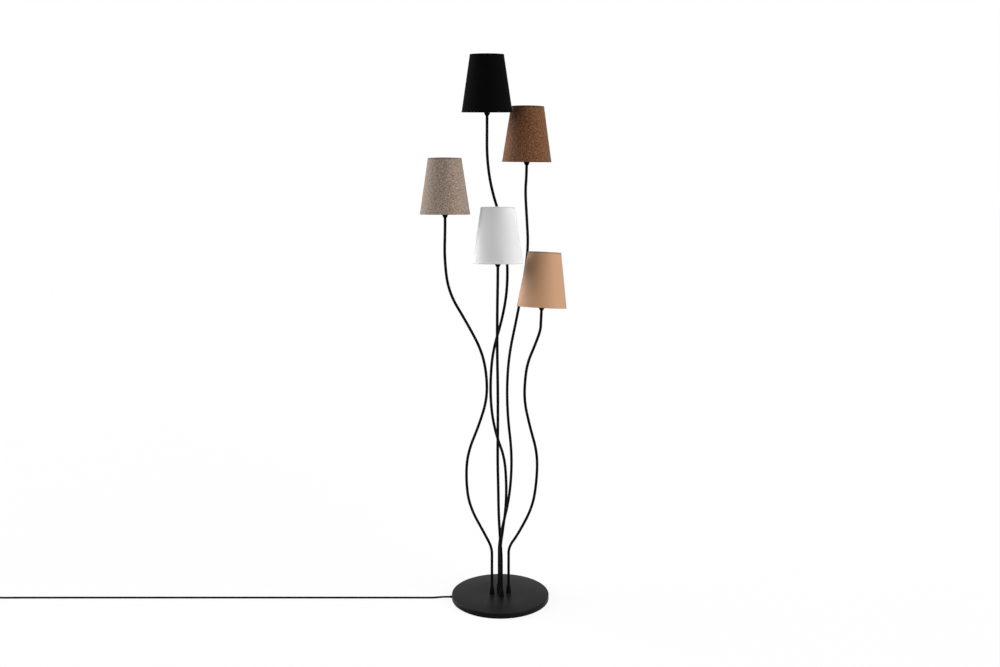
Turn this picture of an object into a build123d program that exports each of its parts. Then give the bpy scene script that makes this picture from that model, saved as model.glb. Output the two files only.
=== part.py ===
from build123d import *
import os
from math import cos, hypot, pi, radians, sin, tan

# Tree floor lamp with five fabric shades on bent tubular stems.
# Millimetres, +Z up. The origin is on the floor, under the middle of the round base.
# The lamp is seen from -Y and its cord leaves the base along -X.

# Base
base_radius = 150.0
base_top = 17.0
sheet = 1.2
cover_foot = 1.5
cover_round = 2.5
pad_radius = 147.4
pad_thick = 3.0
plate_radius = 148.3
plate_thick = 1.2
notch_spare = 2.0
ballast_radius = 148.2
recess_radius = 62.0
plate_screw_ring = 105.0
plate_screw_radius = 2.0
plate_screw_head = 3.6
plate_screw_length = 9.0

# Stems and the collars at their feet
stem_radius = 4.0
stem_bore = 3.0
stem_foot = 6.0
hole_gap = 0.1
foot_ring = 26.0
foot_turn = 8.5
collar_height = 26.0
collar_wide = 7.8
collar_middle = 7.15
collar_narrow = 4.7
set_screw_radius = 1.5
set_screw_height = 11.0
set_screw_reach = 6.8
washer_radius = 9.0
washer_thick = 1.5
nut_width = 13.0
nut_thick = 4.5
lead_radius = 1.4
lead_end_gap = 1.0

# Heads, in a frame with its origin in the middle of the shade's lower rim
shade_low = 73.0
shade_high = 48.5
shade_tall = 161.0
shade_wall = 1.2
cup_bottom = -9.0
cup_floor = 6.0
cup_step = 13.5
cup_top = 22.0
cup_narrow = 5.5
cup_wide = 14.8
holder_foot = 9.6
holder_radius = 13.2
holder_seat = 24.0
holder_seat_radius = 16.5
holder_top = 50.0
holder_socket = 7.1
holder_socket_floor = 30.0
holder_wire_hole = 2.0
stem_into_holder = 12.0
straight_below_head = 42.0
fitter_thick = 1.5
fitter_radius = 18.0
frame_wire = 1.2
frame_ring_height = 3.0
frame_arms = 3
ring_nut_radius = 16.4
ring_nut_tall = 6.0
bulb_cap_radius = 7.0
bulb_cap_top = 53.0
bulb_neck = 8.5
bulb_radius = 22.5
bulb_centre = 84.0

# Mains cord with its foot switch, coil and plug
cord_radius = 3.0
cord_y = -8.0
cord_floor = 3.1
exit_height = 7.4
relief_inner = -138.0
relief_outer = -158.0
relief_wide = 4.4
relief_narrow = 3.4
channel_width = 12.0
channel_top = 12.2
terminal_face = -52.0
terminal_size = (14.0, 44.0, 8.0)
terminal_middle_y = -8.0
terminal_wells = 5
terminal_well_radius = 2.2
terminal_well_depth = 3.0
clamp_size = (4.0, 18.0, 8.0)
clamp_middle_x = -56.5
switch_height = 8.0
switch_near = -1626.0
switch_length = 74.0
switch_width = 38.0
switch_top = 21.0
switch_wall = 2.2
switch_corner = 12.0
floor_gap = 0.1
boot_length = 20.0
boot_wide = 5.2
button_radius = 12.0
button_proud = 4.0
button_travel = 3.0
button_gap = 0.35
button_flange = 13.6
button_flange_thick = 2.0
button_plunger = 3.0
core_size = (22.0, 14.0, 5.5)
core_seat = 3.0
switch_screw_offset = 27.0
switch_screw_radius = 1.5
switch_screw_head = 2.8
coil_x = -1792.0
coil_outer_turn = 36.0
coil_inner_turn = 30.0
coil_top_turn = 33.0
coil_rise = 5.3
coil_turns = 2.25
coil_to_plug = 50.0
plug_relief_length = 22.0
plug_height = 6.9
plug_length = 36.0
plug_wide = 35.0
plug_narrow = 16.0
plug_shoulder = 20.0
plug_thick = 13.6
plug_corner = 3.0
plug_edge = 2.0
pin_radius = 2.0
pin_length = 19.0
pin_spacing = 19.0

# Middle of each shade's lower rim, and how far the head leans to -Y and to +X in degrees
heads = {
    "black": ((-38, -5, 1475.5), 2.6, 0.0),
    "brown": ((78, 62, 1335.5), 0.0, 0.6),
    "grey": ((-160, -20, 1185.5), -2.0, 0.0),
    "white": ((-7, -76, 1048), -4.0, 0.0),
    "tan": ((121, -35, 916.5), -5.8, 2.9),
}

# Corner points of each stem's bends, from above its collar to below its head
stem_bends = {
    "black": [
        (0, 0, 165), (7, 1, 215), (17, 3, 290), (19, 6, 365), (13, 10, 450), (-13, 12, 519),
        (-28, 15, 599), (-30, 18, 689), (-22, 20, 779), (5, 22, 869), (21, 23, 959),
        (21, 22, 1059), (5, 19, 1160), (-27, 12, 1260), (-39, 3, 1350),
    ],
    "brown": [
        (-4, 26, 165), (5, 29, 215), (24, 38, 290), (34, 46, 370), (35, 51, 460), (23, 55, 561),
        (20, 57, 661), (27, 58, 761), (50, 59, 871), (70, 60, 981), (84, 61, 1081), (79, 62, 1171),
        (74, 62, 1250),
    ],
    "grey": [
        (-26, -4, 165), (-45, -5, 205), (-94, -10, 300), (-104, -14, 385), (-99, -18, 470),
        (-63, -21, 560), (-39, -22, 640), (-41, -24, 720), (-57, -25, 790), (-99, -26, 870),
        (-152, -26, 960), (-163, -25, 1060),
    ],
    "white": [
        (4, -26, 150), (-1, -32, 210), (-5, -48, 290), (-6, -71, 380), (-8, -88, 470),
        (-7, -95, 570), (-7, -92, 681), (-9, -86, 793), (-9, -82, 883), (-8, -82, 961),
    ],
    "tan": [
        (26, 4, 165), (54, 4, 205), (98, 7, 290), (111, 7, 371), (113, 1, 463), (89, -9, 550),
        (71, -20, 633), (74, -30, 709), (82, -35, 755), (100, -40, 800), (118, -42, 849),
    ],
}

# Which way each foot lies from the centre foot, in degrees before the ring's turn
foot_direction = {"grey": 180.0, "white": 270.0, "tan": 0.0, "brown": 90.0}

# Route of the mains cord: base to switch, switch to coil, coil to plug
route_to_switch = [
    (relief_outer, cord_y, exit_height),
    (-176, cord_y, exit_height),
    (-208, cord_y, cord_floor),
    (-1560, cord_y, cord_floor),
    (-1590, cord_y, switch_height),
    (switch_near + boot_length, cord_y, switch_height),
]
route_to_coil = [
    (switch_near - switch_length - boot_length, cord_y, switch_height),
    (-1738, cord_y, switch_height),
    (-1768, cord_y, cord_floor),
    (coil_x, cord_y, cord_floor),
]
coil_y = cord_y + coil_outer_turn
plug_x = coil_x - coil_top_turn
plug_y = coil_y + coil_to_plug + plug_relief_length
route_to_plug = [
    (plug_x, coil_y, cord_floor + coil_rise),
    (plug_x, coil_y + coil_to_plug / 2 + 1, plug_height),
    (plug_x, coil_y + coil_to_plug, plug_height),
]

os.makedirs("parts", exist_ok=True)


def save(node, *solids):
    export_step(Compound(children=list(solids)), f"parts/{node}.step")


def spun(*profile):
    edges = Polyline(*[(radius, 0, height) for radius, height in profile], close=True)
    return revolve(make_face(edges), Axis.Z)


def disc(radius, low, high):
    return Pos(0, 0, low) * extrude(Circle(radius), high - low)


def ring(outer, inner, low, high):
    return Pos(0, 0, low) * extrude(Circle(outer) - Circle(inner), high - low)


def block(size, middle_x, middle_y, low):
    return Pos(middle_x, middle_y, low + size[2] / 2) * Box(*size)


def polar(radius, degrees):
    return radius * cos(radians(degrees)), radius * sin(radians(degrees))


def foot_of(name):
    if name not in foot_direction:
        return 0.0, 0.0
    return polar(foot_ring, foot_direction[name] + foot_turn)


def bend_radii(points):
    radii = []
    for before, corner, after in zip(points, points[1:], points[2:]):
        arriving = Vector(*corner) - Vector(*before)
        leaving = Vector(*after) - Vector(*corner)
        shorter = min(arriving.length, leaving.length)
        radii.append(0.45 * shorter / tan(radians(arriving.get_angle(leaving)) / 2))
    return radii


def bent_path(points):
    return FilletPolyline(*points, radius=bend_radii(points))


def swept(path, section):
    return sweep(Plane(path @ 0, z_dir=path % 0) * section, path)


def head_place(name):
    middle, forward, sideways = heads[name]
    return Location(middle, (forward, sideways, 0))


def on_head_axis(name, height):
    return tuple((head_place(name) * Pos(0, 0, height)).position)


def stem_points(name, foot, top):
    x, y = foot_of(name)
    bends = [(x, y, stem_bends[name][0][2])] + stem_bends[name][1:]
    return [(x, y, foot)] + bends + [on_head_axis(name, -straight_below_head), on_head_axis(name, top)]


# Base: pad, closing plate, ballast and pressed cover

def make_pad():
    return disc(pad_radius, 0, pad_thick)


def plate_screw_spots():
    return [polar(plate_screw_ring, 45 + 90 * turn) for turn in range(4)]


def make_plate(low, high):
    plate = disc(plate_radius, low, high)
    notch = (2 * (base_radius + relief_inner + notch_spare), channel_width, plate_thick)
    plate -= block(notch, -base_radius, cord_y, low)
    for x, y in plate_screw_spots():
        plate -= Pos(x, y, 0) * disc(plate_screw_head, low, high)
    return plate


def make_plate_screws(low, high):
    screw = disc(plate_screw_head, low, high) + disc(plate_screw_radius, high, low + plate_screw_length)
    return [Pos(x, y, 0) * screw for x, y in plate_screw_spots()]


def make_ballast(low, high):
    ballast = ring(ballast_radius, recess_radius, low, high)
    channel = (ballast_radius, channel_width, channel_top - low)
    ballast -= block(channel, -ballast_radius / 2 - recess_radius / 2, cord_y, low)
    for x, y in plate_screw_spots():
        ballast -= Pos(x, y, 0) * disc(plate_screw_radius, low, pad_thick + plate_screw_length)
    return ballast


def make_cover():
    outside = fillet(disc(base_radius, cover_foot, base_top).edges().group_by(Axis.Z)[-1], cover_round)
    cover = outside - disc(base_radius - sheet, cover_foot, base_top - sheet)
    for name in heads:
        x, y = foot_of(name)
        cover -= Pos(x, y, 0) * disc(stem_radius + hole_gap, base_top - 2 * sheet, base_top)
    cord_hole = Pos(-base_radius, cord_y, exit_height) * Rot(0, 90, 0) * Cylinder(relief_wide, 4 * sheet)
    return cover - cord_hole


# Stem feet

def make_collar(name):
    low = (collar_wide, 0, 0)
    high = (collar_narrow, 0, collar_height)
    flank = ThreePointArc(low, (collar_middle, 0, collar_height / 2), high)
    bore = Polyline(high, (stem_radius, 0, collar_height), (stem_radius, 0, 0), low)
    collar = revolve(make_face(flank + bore), Axis.Z) - set_screw_solid(name, collar_wide)
    x, y = foot_of(name)
    return Pos(x, y, base_top) * collar


def set_screw_solid(name, reach):
    towards_middle = foot_direction.get(name, 90.0) + foot_turn + 180
    screw = Pos(stem_radius, 0, 0) * extrude(Plane.YZ * Circle(set_screw_radius), reach - stem_radius)
    return Rot(0, 0, towards_middle) * Pos(0, 0, set_screw_height) * screw


def make_set_screw(name):
    x, y = foot_of(name)
    return Pos(x, y, base_top) * set_screw_solid(name, set_screw_reach)


def make_washer(name):
    x, y = foot_of(name)
    under_cover = base_top - sheet
    return Pos(x, y, 0) * ring(washer_radius, stem_radius, under_cover - washer_thick, under_cover)


def make_nut(name):
    x, y = foot_of(name)
    top = base_top - sheet - washer_thick
    hexagon = RegularPolygon(nut_width / 2, 6, major_radius=False) - Circle(stem_radius)
    return Pos(x, y, top - nut_thick) * extrude(hexagon, nut_thick)


# Stems

def make_stem(name):
    path = bent_path(stem_points(name, stem_foot, stem_into_holder))
    stem = swept(path, Circle(stem_radius) - Circle(stem_bore))
    section = pi * (stem_radius ** 2 - stem_bore ** 2)
    print(f"stem {name}: {path.length:.0f} long, volume ratio {stem.volume / (section * path.length):.4f}")
    return stem


def make_stem_lead(name):
    low = stem_foot - lead_end_gap
    path = bent_path(stem_points(name, low, stem_into_holder + lead_end_gap))
    return swept(path, Circle(lead_radius))


# Heads

def make_cup():
    return spun(
        (stem_radius, cup_bottom), (cup_narrow, cup_bottom), (cup_wide, cup_step), (cup_wide, cup_top),
        (holder_radius + hole_gap, cup_top), (holder_radius + hole_gap, cup_step),
        (holder_foot + hole_gap, cup_step), (holder_foot + hole_gap, cup_floor), (stem_radius, cup_floor)
    )


def make_holder():
    return spun(
        (stem_radius, cup_floor), (holder_foot, cup_floor), (holder_foot, cup_step),
        (holder_radius, cup_step), (holder_radius, cup_top), (holder_seat_radius, cup_top),
        (holder_seat_radius, holder_seat), (holder_radius, holder_seat), (holder_radius, holder_top),
        (holder_socket, holder_top), (holder_socket, holder_socket_floor),
        (holder_wire_hole, holder_socket_floor), (holder_wire_hole, stem_into_holder),
        (stem_radius, stem_into_holder)
    )


def make_ring_nut():
    low = holder_seat + fitter_thick
    return ring(ring_nut_radius, holder_radius, low, low + ring_nut_tall)


def make_frame():
    wall_here = shade_low - shade_wall - (shade_low - shade_high) * frame_ring_height / shade_tall
    wire_ring = wall_here - 1.15 * frame_wire
    frame = Pos(0, 0, frame_ring_height) * Torus(wire_ring, frame_wire)
    frame += ring(fitter_radius, holder_radius + hole_gap, holder_seat, holder_seat + fitter_thick)
    start = Vector(fitter_radius - 1, 0, holder_seat + fitter_thick / 2)
    arm = Line(start, (wire_ring, 0, frame_ring_height))
    for turn in range(frame_arms):
        frame += Rot(0, 0, 90 + 360 / frame_arms * turn) * swept(arm, Circle(frame_wire))
    return frame


def make_top_ring():
    height = shade_tall - 2 * frame_wire
    wall_here = shade_high - shade_wall + (shade_low - shade_high) * (shade_tall - height) / shade_tall
    return Pos(0, 0, height) * Torus(wall_here - 1.15 * frame_wire, frame_wire)


def make_shade():
    return spun(
        (shade_low, 0), (shade_high, shade_tall),
        (shade_high - shade_wall, shade_tall), (shade_low - shade_wall, 0)
    )


def make_bulb_cap():
    return disc(bulb_cap_radius, holder_socket_floor + 1, bulb_cap_top)


def make_bulb():
    neck_reach = (bulb_radius ** 2 - bulb_neck ** 2) ** 0.5
    neck = (bulb_neck, 0, bulb_cap_top)
    throat = (bulb_neck, 0, bulb_centre - neck_reach)
    side = (bulb_radius, 0, bulb_centre)
    top = (0, 0, bulb_centre + bulb_radius)
    outline = Polyline(top, (0, 0, bulb_cap_top), neck, throat) + ThreePointArc(throat, side, top)
    return revolve(make_face(outline), Axis.Z)


# Mains cord

def make_relief():
    inside = -base_radius - relief_inner
    outside = -base_radius - relief_outer
    relief = spun(
        (0, inside), (relief_wide, inside), (relief_wide, 0), (relief_narrow, outside), (0, outside)
    )
    return Pos(-base_radius, cord_y, exit_height) * Rot(0, -90, 0) * relief


def make_lead_in():
    length = relief_inner - terminal_face
    return Pos(terminal_face, cord_y, exit_height) * extrude(Plane.YZ * Circle(cord_radius), length)


def make_terminal(low):
    middle_x = terminal_face + terminal_size[0] / 2
    top = low + terminal_size[2]
    spacing = terminal_size[1] / terminal_wells
    terminal = block(terminal_size, middle_x, terminal_middle_y, low)
    for well in range(terminal_wells):
        y = terminal_middle_y + spacing * (well - (terminal_wells - 1) / 2)
        terminal -= Pos(middle_x, y, 0) * disc(terminal_well_radius, top - terminal_well_depth, top)
    return terminal


def make_clamp(low):
    groove = Pos(clamp_middle_x, cord_y, exit_height) * Rot(0, 90, 0) * Cylinder(cord_radius, 10)
    slot = block((10, 2 * cord_radius, exit_height - low), clamp_middle_x, cord_y, low)
    return block(clamp_size, clamp_middle_x, cord_y, low) - groove - slot


def make_cord(points):
    path = bent_path(points)
    tube = swept(path, Circle(cord_radius))
    ratio = tube.volume / (pi * cord_radius ** 2 * path.length)
    radii = [round(radius) for radius in bend_radii(points)]
    print(f"cord: {path.length:.0f} long, radii {radii}, volume ratio {ratio:.4f}")
    return tube, path.length


def make_coil():
    outer = coil_outer_turn + cord_radius + hole_gap
    inner = coil_inner_turn - cord_radius - hole_gap
    top = cord_floor + coil_rise + cord_radius
    return Pos(coil_x, coil_y, 0) * ring(outer, inner, floor_gap, top)


def coil_length():
    top_part = (coil_turns - 2) * coil_top_turn
    return 2 * pi * (coil_outer_turn + coil_inner_turn + top_part)


# Foot switch

switch_x = switch_near - switch_length / 2


def case_outline():
    return RectangleRounded(switch_length, switch_width, switch_corner)


def case_inside():
    return RectangleRounded(
        switch_length - 2 * switch_wall, switch_width - 2 * switch_wall, switch_corner - switch_wall
    )


def screw_posts(low, high, radius):
    return [
        Pos(side * switch_screw_offset, 0, 0) * disc(radius, low, high) for side in (-1, 1)
    ]


def make_switch_lower():
    case = Pos(0, 0, floor_gap) * extrude(case_outline(), switch_height - floor_gap)
    case -= Pos(0, 0, core_seat) * extrude(case_inside(), switch_height)
    for post in screw_posts(core_seat, switch_height, switch_screw_head + 1):
        case += post
    for hole in screw_posts(0, switch_height, switch_screw_radius):
        case -= hole
    for head in screw_posts(0, core_seat, switch_screw_head):
        case -= head
    return Pos(switch_x, cord_y, 0) * case


def make_switch_upper():
    case = Pos(0, 0, switch_height) * extrude(case_outline(), switch_top - switch_height)
    case = chamfer(case.edges().group_by(Axis.Z)[-1], 2.0)
    case -= Pos(0, 0, switch_height) * extrude(case_inside(), switch_top - switch_wall - switch_height)
    for post in screw_posts(switch_height, switch_top - 1, switch_screw_head + 1):
        case += post
    for hole in screw_posts(switch_height, switch_top - 2 * switch_wall, switch_screw_radius):
        case -= hole
    case -= disc(button_radius + button_gap, switch_height, switch_top)
    return Pos(switch_x, cord_y, 0) * case


def make_switch_screws():
    screws = []
    for side in (-1, 1):
        screw = disc(switch_screw_radius, core_seat, switch_top - 2 * switch_wall)
        screw += disc(switch_screw_head, core_seat - 1.5, core_seat)
        screws.append(Pos(switch_x + side * switch_screw_offset, cord_y, 0) * screw)
    return screws


def make_core():
    return block(core_size, switch_x, cord_y, core_seat)


def make_button():
    flange_top = switch_top - switch_wall - button_gap
    flange_low = flange_top - button_flange_thick
    plunger_low = core_seat + core_size[2] + button_travel + button_gap
    button = disc(button_radius, flange_top, switch_top + button_proud)
    button = chamfer(button.edges().group_by(Axis.Z)[-1], 1.0)
    button += disc(button_flange, flange_low, flange_top)
    button += disc(button_plunger, plunger_low, flange_low)
    return Pos(switch_x, cord_y, 0) * button


def make_boots():
    boot = spun((0, 0), (boot_wide, 0), (relief_narrow, boot_length), (0, boot_length))
    near = Pos(switch_near, cord_y, switch_height) * Rot(0, 90, 0) * boot
    far = Pos(switch_near - switch_length, cord_y, switch_height) * Rot(0, -90, 0) * boot
    return near, far


# Plug

def make_plug():
    half_wide = plug_wide / 2
    half_narrow = plug_narrow / 2
    right = [(half_narrow, 0), (half_wide, plug_shoulder), (half_wide, plug_length)]
    left = [(-x, y) for x, y in reversed(right)]
    outline = make_face(Polyline(*right, *left, close=True))
    outline = fillet(outline.vertices(), plug_corner)
    body = Pos(0, 0, -plug_thick / 2) * extrude(outline, plug_thick)
    body = chamfer(body.edges().group_by(Axis.Z)[0] + body.edges().group_by(Axis.Z)[-1], plug_edge)
    relief = Rot(-90, 0, 0) * spun(
        (0, -plug_relief_length), (relief_narrow, -plug_relief_length), (boot_wide, 0), (0, 0)
    )
    return Pos(plug_x, plug_y, plug_height) * (body + relief)


def make_pins():
    pin = Rot(-90, 0, 0) * disc(pin_radius, 0, pin_length)
    sides = [side * pin_spacing / 2 for side in (-1, 1)]
    return [Pos(plug_x + side, plug_y + plug_length, plug_height) * pin for side in sides]


plate_top = pad_thick + plate_thick
under_cover = base_top - sheet

save("anti_slip_pad", make_pad())
save("base_plate", make_plate(pad_thick, plate_top))
save("plate_screws", *make_plate_screws(pad_thick, plate_top))
save("ballast", make_ballast(plate_top, under_cover))
save("base_cover", make_cover())
save("stem_collars", *[make_collar(name) for name in heads])
save("collar_set_screws", *[make_set_screw(name) for name in heads])
save("stem_washers", *[make_washer(name) for name in heads])
save("stem_nuts", *[make_nut(name) for name in heads])
save("stem_leads", *[make_stem_lead(name) for name in heads])
for name in heads:
    save(f"stem_{name}", make_stem(name))
    save(f"shade_{name}", head_place(name) * make_shade())
    save(f"shade_frame_{name}", head_place(name) * make_frame())
    save(f"socket_cup_{name}", head_place(name) * make_cup())
    save(f"lampholder_{name}", head_place(name) * make_holder())
    save(f"bulb_{name}", head_place(name) * make_bulb())
save("shade_top_rings", *[head_place(name) * make_top_ring() for name in heads])
save("shade_ring_nuts", *[head_place(name) * make_ring_nut() for name in heads])
save("bulb_caps", *[head_place(name) * make_bulb_cap() for name in heads])

save("cord_relief", make_relief())
save("cord_lead_in", make_lead_in())
save("terminal_block", make_terminal(plate_top))
save("cord_clamp", make_clamp(plate_top))
tubes = [make_cord(points) for points in (route_to_switch, route_to_coil, route_to_plug)]
save("mains_cord", *[tube for tube, length in tubes])
save("cord_coil", make_coil())
save("switch_lower", make_switch_lower())
save("switch_upper", make_switch_upper())
save("switch_screws", *make_switch_screws())
save("switch_core", make_core())
save("switch_boots", *make_boots())
save("foot_button", make_button())
save("plug_body", make_plug())
save("plug_pins", *make_pins())

through_switch = switch_length + 2 * boot_length
total = sum(length for tube, length in tubes) + coil_length() + through_switch
print(f"whole cord outside the base: {total:.0f}")
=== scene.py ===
from math import atan2, copysign, cos, hypot, pi, radians, sin

import bmesh
import bpy
from mathutils import Matrix, Vector


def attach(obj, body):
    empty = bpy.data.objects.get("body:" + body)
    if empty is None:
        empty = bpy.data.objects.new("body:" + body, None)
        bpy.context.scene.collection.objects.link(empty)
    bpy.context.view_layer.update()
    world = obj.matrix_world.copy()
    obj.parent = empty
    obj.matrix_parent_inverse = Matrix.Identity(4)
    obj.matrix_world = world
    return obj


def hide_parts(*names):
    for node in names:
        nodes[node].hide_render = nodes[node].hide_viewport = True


# Tree floor lamp with five cloth shades, a foot switch and a coiled lead. Shapes are in millimetres unless a
# note says otherwise. A finish's depth is in metres, and the scale of its grain is per metre.

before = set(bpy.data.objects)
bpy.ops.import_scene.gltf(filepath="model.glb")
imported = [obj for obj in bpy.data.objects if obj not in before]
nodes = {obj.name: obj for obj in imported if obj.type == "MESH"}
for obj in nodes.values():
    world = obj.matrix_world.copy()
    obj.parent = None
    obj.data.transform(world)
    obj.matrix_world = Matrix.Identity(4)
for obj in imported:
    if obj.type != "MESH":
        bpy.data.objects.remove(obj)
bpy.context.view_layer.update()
print("frame loaded,", len(nodes), "nodes")


# Shader graphs, written as sums

class Wire:
    def __init__(self, graph, socket):
        self.graph = graph
        self.socket = socket

    def sum(self, operation, *values):
        return self.graph.add("Math", {"operation": operation}, dict(enumerate(values)))

    def __add__(self, other):
        return self.sum("ADD", self, other)

    def __radd__(self, other):
        return self.sum("ADD", other, self)

    def __sub__(self, other):
        return self.sum("SUBTRACT", self, other)

    def __rsub__(self, other):
        return self.sum("SUBTRACT", other, self)

    def __mul__(self, other):
        return self.sum("MULTIPLY", self, other)

    def __rmul__(self, other):
        return self.sum("MULTIPLY", other, self)

    def __pow__(self, other):
        return self.sum("POWER", self, other)

    def __rpow__(self, other):
        return self.sum("POWER", other, self)

    def sine(self):
        return self.sum("SINE", self)

    def clamped(self):
        return self.graph.add("Clamp", {}, {"Value": self})


class Graph:
    def __init__(self, tree):
        self.tree = tree

    def add(self, kind, settings, inputs, out=0):
        node = self.tree.nodes.new("ShaderNode" + kind)
        for key, value in settings.items():
            if key == "stops":
                self.setStops(node.color_ramp, value)
            else:
                setattr(node, key, value)
        for key, value in inputs.items():
            self.feed(node.inputs[key], value)
        return Wire(self, node.outputs[out])

    def setStops(self, ramp, stops):
        while len(ramp.elements) < len(stops):
            ramp.elements.new(0.5)
        for element, (place, colour) in zip(ramp.elements, stops):
            element.position = place
            element.color = (*colour, 1)

    def feed(self, socket, value):
        if isinstance(value, Wire):
            self.tree.links.new(value.socket, socket)
        else:
            socket.default_value = value

    def mixed(self, share, first, second):
        return self.add("Mix", {"data_type": "RGBA"}, {0: share, 6: first, 7: second}, out=2)

    def noise(self, place, scale, detail=2.0, roughness=0.5):
        inputs = {"Vector": place, "Scale": scale, "Detail": detail, "Roughness": roughness}
        return self.add("TexNoise", {}, inputs)


class Finish(Graph):
    def __init__(self, name, fixed):
        self.material = bpy.data.materials.new(name)
        self.material.use_nodes = True
        super().__init__(self.material.node_tree)
        self.shader = self.tree.nodes["Principled BSDF"]
        for socket, value in fixed.items():
            self.shader.inputs[socket].default_value = value
        self.place = self.add("TexCoord", {}, {}, out=3)  # Object coordinates, in metres

    def paint(self, **wires):
        for name, wire in wires.items():
            self.feed(self.shader.inputs[name[0].upper() + name[1:]], wire)

    def colour(self, wire):
        self.feed(self.shader.inputs["Base Color"], wire)

    def bump(self, height, distance, strength):
        raised = self.add("Bump", {}, {"Height": height, "Distance": distance, "Strength": strength})
        self.paint(normal=raised)


plainWhite = (1, 1, 1, 1)


def opaque(colour, share=1.0):
    return (*[share * part for part in colour], 1)


# Finishes of the hard pieces

coatLook = {
    "colour": (0.0045, 0.0043, 0.0043), "dust": (0.0080, 0.0077, 0.0077), "rough": 0.36, "peel": 620,
    "depth": 0.00006, "level": 0.045,
}
tubeLook = {
    "colour": (0.0028, 0.0028, 0.003), "dust": (0.0045, 0.0045, 0.0048), "rough": 0.42, "peel": 900,
    "depth": 0.00003, "level": 0.02,
}
coatGrain = {"cloud": 34, "speck": 2600, "speckAbove": 0.66, "speckEdge": 9, "wander": 0.1, "bump": 0.3}


def coatFinish(name, look):
    finish = Finish(name, {"Specular IOR Level": look["level"]})
    peel = finish.noise(finish.place, look["peel"], 3.0, 0.55)
    cloud = finish.noise(finish.place, coatGrain["cloud"], 4.0, 0.6)
    speck = finish.noise(finish.place, coatGrain["speck"], 1.0) - coatGrain["speckAbove"]
    speck = (speck * coatGrain["speckEdge"]).clamped()
    finish.colour(finish.mixed(cloud * 0.5 + speck * 0.5, opaque(look["colour"]), opaque(look["dust"])))
    wander = coatGrain["wander"]
    finish.paint(roughness=look["rough"] - wander / 2 + cloud * wander + peel * 0.04)
    finish.bump(peel + speck * 0.2, look["depth"], coatGrain["bump"])
    return finish.material


metalGrain = {
    "stain": 130, "stainTone": 0.62, "stainRough": 0.14, "brushRough": 0.08, "depth": 0.00005, "bump": 0.25,
}


def metalFinish(name, colour, rough, lines):
    finish = Finish(name, {"Metallic": 1.0})
    stretched = finish.add("VectorMath", {"operation": "MULTIPLY"}, {0: finish.place, 1: lines})
    brushed = finish.noise(stretched, 1.0, 3.0)
    stain = finish.noise(finish.place, metalGrain["stain"], 4.0, 0.6)
    finish.colour(finish.mixed(stain * 0.5, opaque(colour), opaque(colour, metalGrain["stainTone"])))
    finish.paint(roughness=rough + stain * metalGrain["stainRough"] + brushed * metalGrain["brushRough"])
    finish.bump(brushed, metalGrain["depth"], metalGrain["bump"])
    return finish.material


plasticGrain = {"cloud": 45, "paler": 1.35, "lift": 0.004, "share": 0.45, "wander": 0.1, "bump": 0.4}


def plasticFinish(name, colour, rough, grain, depth, level):
    finish = Finish(name, {"Specular IOR Level": level})
    grained = finish.noise(finish.place, grain, 2.0, 0.6)
    cloud = finish.noise(finish.place, plasticGrain["cloud"], 3.0)
    paler = [min(1.0, plasticGrain["paler"] * part + plasticGrain["lift"]) for part in colour]
    finish.colour(finish.mixed(cloud * plasticGrain["share"], opaque(colour), opaque(paler)))
    wander = plasticGrain["wander"]
    finish.paint(roughness=rough + cloud * wander - wander / 2 + grained * 0.05)
    finish.bump(grained, depth, plasticGrain["bump"])
    return finish.material


padLook = {
    "colour": (0.011, 0.011, 0.011), "dust": (0.032, 0.031, 0.030), "level": 0.25, "rough": 0.78,
    "dots": 260.0, "dotSize": 2.2, "cloud": 60, "depth": 0.0004, "bump": 0.6,
}


def padFinish():
    finish = Finish("padRubber", {"Specular IOR Level": padLook["level"]})
    cells = finish.add("TexVoronoi", {"feature": "F1"}, {"Vector": finish.place, "Scale": padLook["dots"]})
    dots = (1 - cells * padLook["dotSize"]).clamped()
    dust = finish.noise(finish.place, padLook["cloud"], 5.0, 0.65)
    finish.colour(finish.mixed(dust * 0.6, opaque(padLook["colour"]), opaque(padLook["dust"])))
    finish.paint(roughness=padLook["rough"] + dust * 0.14)
    finish.bump(dots, padLook["depth"], padLook["bump"])
    return finish.material


bulbLook = {
    "colour": (0.80, 0.80, 0.78), "pale": (0.86, 0.86, 0.845), "rough": 0.30, "coat": 0.35, "coatRough": 0.12,
    "cloud": 70,
}


def bulbFinish():
    finish = Finish("opalGlass", {"Coat Roughness": bulbLook["coatRough"], "Coat Weight": bulbLook["coat"]})
    cloud = finish.noise(finish.place, bulbLook["cloud"], 2.0)
    finish.colour(finish.mixed(cloud, opaque(bulbLook["colour"]), opaque(bulbLook["pale"])))
    finish.paint(roughness=bulbLook["rough"] + cloud * 0.08)
    return finish.material


# metals: colour, roughness, grain along each axis; mouldings: colour, roughness, grain, depth, specular level
finishes = {
    "blackCoat": coatFinish("blackPowderCoat", coatLook),
    "tubeCoat": coatFinish("satinTubeCoat", tubeLook),
    "steel": metalFinish("zincSteel", (0.50, 0.50, 0.49), 0.30, (900, 900, 60)),
    "iron": metalFinish("rawIron", (0.20, 0.19, 0.185), 0.55, (300, 300, 300)),
    "nickel": metalFinish("nickelCap", (0.62, 0.60, 0.56), 0.24, (80, 80, 1400)),
    "blackPlastic": plasticFinish("blackMoulding", (0.009, 0.009, 0.0095), 0.48, 1900, 0.00008, 0.12),
    "blackRubber": plasticFinish("cordSheath", (0.0035, 0.0035, 0.0037), 0.46, 1200, 0.00005, 0.02),
    "paleWire": plasticFinish("whiteWireCoat", (0.62, 0.62, 0.61), 0.38, 700, 0.00006, 0.5),
    "paleMoulding": plasticFinish("whiteMoulding", (0.66, 0.66, 0.64), 0.42, 1500, 0.00006, 0.5),
    "lining": plasticFinish("shadeLining", (0.70, 0.69, 0.66), 0.50, 420, 0.00010, 0.4),
    "pad": padFinish(),
    "opal": bulbFinish(),
}
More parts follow.
